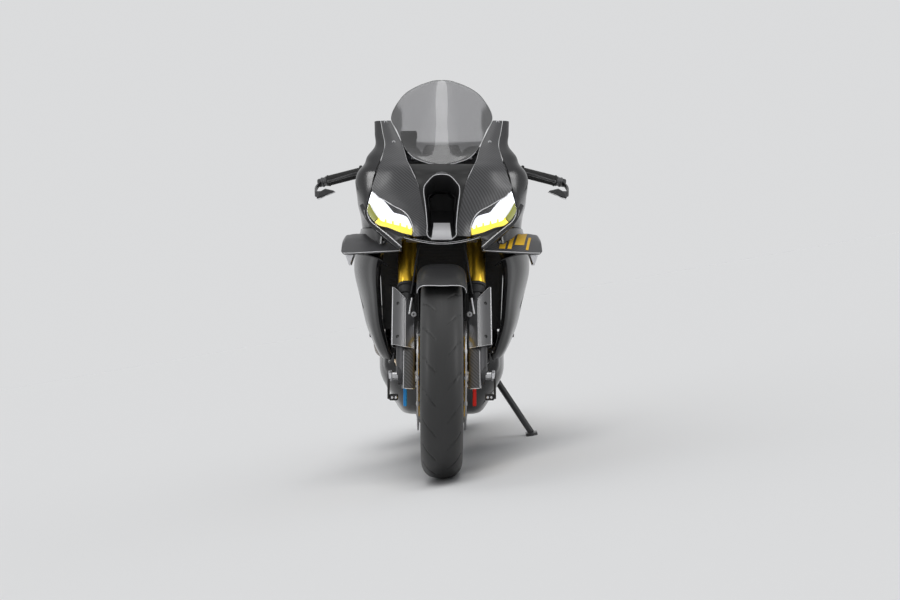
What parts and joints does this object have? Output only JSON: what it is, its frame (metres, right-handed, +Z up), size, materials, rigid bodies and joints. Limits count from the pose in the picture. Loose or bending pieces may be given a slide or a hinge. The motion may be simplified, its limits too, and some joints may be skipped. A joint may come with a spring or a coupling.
{
  "type": "sport motorcycle",
  "caption": "Sport motorcycle with full carbon-look racing bodywork, winglets, twin headlamps and a ram-air nose, leaning on its side stand; steering, wheels and stand move.",
  "frame": {"origin": "on the floor, under the middle of the parked machine's overall box", "axes": "+X towards the rider's left, the side it leans to on its stand; +Y towards the tail; +Z up"},
  "size_m": [0.7908, 2.0829, 1.1955],
  "materials": {
    "black_plastic": "matte",
    "tyre_rubber": "matte",
    "grip_rubber": "matte",
    "carbon_gloss": "gloss carbon weave",
    "clear_lens": "gloss",
    "red_lens": "gloss",
    "gold_metal": "satin gold",
    "black_alloy": "satin black",
    "dark_engine": "satin",
    "bare_steel": "brushed",
    "satin_black": "satin",
    "seat_cover": "matte"
  },
  "bodies": {
    "chassis": {"air_duct": "black_alloy", "belly_pan": "carbon_gloss", "drive_chain": "gold_metal", "ear_panels": "carbon_gloss", "engine_block": "dark_engine", "exhaust_pipes": "bare_steel", "footrests": "black_alloy", "front_sprocket": "bare_steel", "fuel_tank": "carbon_gloss", "headlamps": "clear_lens", "instrument": "black_plastic", "main_frame": "black_alloy", "nose_cowl": "carbon_gloss", "pivot_shaft": "bare_steel", "radiator": "dark_engine", "rear_axle": "bare_steel", "rear_caliper": "satin_black", "rear_hugger": "carbon_gloss", "rear_shock": "black_plastic", "rear_subframe": "dark_engine", "rider_seat": "seat_cover", "seat_cowl": "carbon_gloss", "side_fairings": "carbon_gloss", "silencer": "satin_black", "stand_bracket": "black_alloy", "swingarm": "black_alloy", "tail_lamp": "red_lens", "upper_fairings": "carbon_gloss", "windscreen": "clear_lens", "winglets": "carbon_gloss"},
    "steering": {"triple_clamps": "black_alloy", "fork_tubes": "gold_metal", "fork_feet": "black_alloy", "front_axle": "bare_steel", "front_calipers": "satin_black", "front_mudguard": "carbon_gloss", "brake_ducts": "carbon_gloss", "handlebars": "satin_black", "grips": "grip_rubber", "levers": "satin_black", "lever_guards": "satin_black", "brake_reservoir": "black_plastic"},
    "front_wheel": {"front_rim": "satin_black", "front_tyre": "tyre_rubber", "front_discs": "bare_steel"},
    "rear_wheel": {"rear_rim": "satin_black", "rear_tyre": "tyre_rubber", "rear_disc": "bare_steel", "rear_sprocket": "bare_steel"},
    "side_stand": {"side_stand": "dark_engine"}
  },
  "joints": [
    {"name": "steering", "type": "hinge", "parent": "chassis", "child": "steering", "pos_m": [-0.1027, -0.71529, 0.28508], "axis": [0.1591, 0.4003, 0.9024], "range_deg": [-27, 27]},
    {"name": "front_wheel_spin", "type": "hinge", "parent": "steering", "child": "front_wheel", "pos_m": [-0.10072, -0.7415, 0.29635], "axis": [0.9848, 0, -0.1736], "continuous": true},
    {"name": "rear_wheel_spin", "type": "hinge", "parent": "chassis", "child": "rear_wheel", "pos_m": [-0.09609, 0.7155, 0.32257], "axis": [0.9848, 0, -0.1736], "continuous": true},
    {"name": "side_stand_fold", "type": "hinge", "parent": "chassis", "child": "side_stand", "pos_m": [0.04805, 0.1145, 0.27622], "axis": [0.982, 0.1129, 0.1516], "range_deg": [0, 95]}
  ]
}
